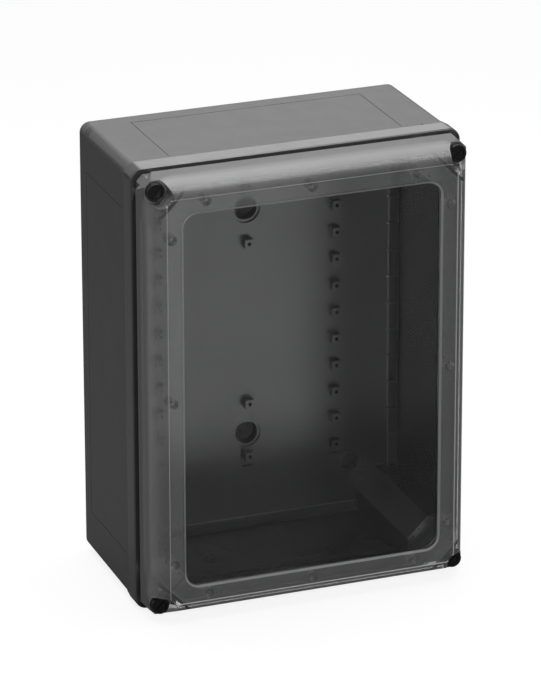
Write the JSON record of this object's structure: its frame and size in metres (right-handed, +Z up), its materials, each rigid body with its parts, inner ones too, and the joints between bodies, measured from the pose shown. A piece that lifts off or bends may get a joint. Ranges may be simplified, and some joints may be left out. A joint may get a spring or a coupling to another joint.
{
  "type": "polycarbonate enclosure",
  "caption": "Deep grey moulded enclosure with bosses and fixing wells inside, and a smoke-clear window lid sealed by a gasket and held by quarter-turn corner bolts",
  "frame": {"origin": "middle of the bottom of the bounding box, with the lid on", "axes": "+X to the right as seen facing the lid, +Y to the rear (the lid faces -Y), +Z up"},
  "size_m": [0.297, 0.1764, 0.4012],
  "materials": {
    "base_grey": "fine moulded grain, satin",
    "lid_clear": "smoke-clear, polished window and shoulder with a frosted frame between them",
    "gasket_foam": "matte closed-cell foam",
    "bolt_black": "black, lightly polished",
    "clip_black": "black, matte"
  },
  "bodies": {
    "base": {"base": "base_grey"},
    "lid": {"lid": "lid_clear", "lid_gasket": "gasket_foam"},
    "lock_bolt_top_left": {"lock_bolt_top_left": "bolt_black", "bolt_clip_top_left": "clip_black"},
    "lock_bolt_top_right": {"lock_bolt_top_right": "bolt_black", "bolt_clip_top_right": "clip_black"},
    "lock_bolt_bottom_left": {"lock_bolt_bottom_left": "bolt_black", "bolt_clip_bottom_left": "clip_black"},
    "lock_bolt_bottom_right": {"lock_bolt_bottom_right": "bolt_black", "bolt_clip_bottom_right": "clip_black"}
  },
  "joints": [
    {"name": "lid_lift_off", "type": "slide", "parent": "base", "child": "lid", "axis": [0, -1, 0], "range_m": [0, 0.08]},
    {"name": "top_left_bolt_turn", "type": "hinge", "parent": "lid", "child": "lock_bolt_top_left", "pos_m": [-0.1351, -0.0708, 0.3872], "axis": [0, 1, 0], "range_deg": [0, 90]},
    {"name": "top_right_bolt_turn", "type": "hinge", "parent": "lid", "child": "lock_bolt_top_right", "pos_m": [0.1351, -0.0708, 0.3872], "axis": [0, 1, 0], "range_deg": [0, 90]},
    {"name": "bottom_left_bolt_turn", "type": "hinge", "parent": "lid", "child": "lock_bolt_bottom_left", "pos_m": [-0.1351, -0.0708, 0.014], "axis": [0, 1, 0], "range_deg": [0, 90]},
    {"name": "bottom_right_bolt_turn", "type": "hinge", "parent": "lid", "child": "lock_bolt_bottom_right", "pos_m": [0.1351, -0.0708, 0.014], "axis": [0, 1, 0], "range_deg": [0, 90]}
  ]
}
